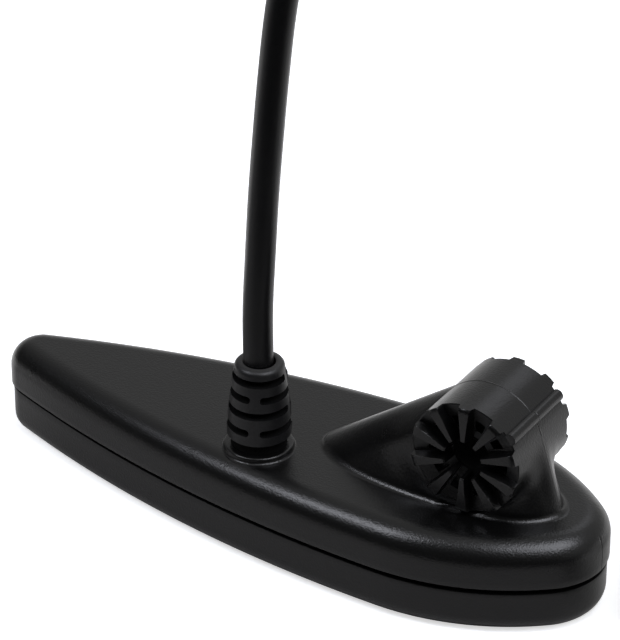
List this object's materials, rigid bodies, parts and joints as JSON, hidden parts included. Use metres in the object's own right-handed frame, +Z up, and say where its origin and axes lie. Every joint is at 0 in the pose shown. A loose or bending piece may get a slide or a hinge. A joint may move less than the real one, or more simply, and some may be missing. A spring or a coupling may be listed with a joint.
{
  "type": "sonar transducer",
  "caption": "Transom-mount sonar transducer: teardrop two-shell body with a ribbed pivot knuckle, a slotted cable boot and a tied hank of cable ending in a screw plug.",
  "frame": {"origin": "middle of the body's base, on the floor, leaving out the cable and what is on it", "axes": "+X towards the blunt nose, +Y to the side away from the cable boot, +Z up through the flat top"},
  "size_m": [0.3095, 0.091, 0.1914],
  "materials": {
    "black_abs": "satin moulded",
    "boot_rubber": "soft matt",
    "cable_pvc": "satin extruded",
    "crimp_aluminium": "crimped",
    "piezo_ceramic": "fired ceramic",
    "cork": "ground cork sheet",
    "potting_resin": "cast",
    "epoxy_bead": "dipped",
    "ferrite": "ground",
    "copper_winding": "enamelled wire",
    "glass_laminate": "solder mask",
    "red_insulation": "extruded",
    "white_insulation": "extruded",
    "yellow_insulation": "extruded",
    "blue_insulation": "extruded",
    "tie_fabric": "woven loop pile",
    "plug_nylon": "moulded",
    "insert_plastic": "moulded",
    "seal_rubber": "moulded",
    "gilt_brass": "gold flashed",
    "clip_steel": "stamped"
  },
  "bodies": {
    "transducer": {"upper_housing": "black_abs", "lower_housing": "black_abs", "cable_boot": "boot_rubber", "cable_tail": "cable_pvc", "cable_anchor": "crimp_aluminium", "piezo_disc": "piezo_ceramic", "isolation_sleeve": "cork", "backing_disc": "cork", "potting": "potting_resin", "thermistor": "epoxy_bead", "transformer_core": "ferrite", "transformer_winding": "copper_winding", "terminal_board": "glass_laminate", "live_lead": "red_insulation", "ground_lead": "white_insulation", "sensor_lead": "yellow_insulation", "transformer_lead": "blue_insulation", "conductor_1": "red_insulation", "conductor_2": "white_insulation", "conductor_3": "yellow_insulation", "conductor_4": "blue_insulation", "cable_stretch": "cable_pvc", "cable_hank": "cable_pvc", "plug_lead": "cable_pvc", "hank_tie": "tie_fabric", "plug_boot": "boot_rubber", "plug_cable_end": "cable_pvc", "plug_body": "plug_nylon", "pin_insert": "insert_plastic", "plug_seal": "seal_rubber", "pin_1": "gilt_brass", "pin_2": "gilt_brass", "pin_3": "gilt_brass", "pin_4": "gilt_brass", "pin_5": "gilt_brass", "ring_clip": "clip_steel"},
    "ring": {"coupling_ring": "plug_nylon"}
  },
  "joints": [
    {"name": "coupling_turn", "type": "hinge", "parent": "transducer", "child": "ring", "pos_m": [0.168, 0.046, 0.038], "axis": [1, 0, 0], "continuous": true}
  ]
}
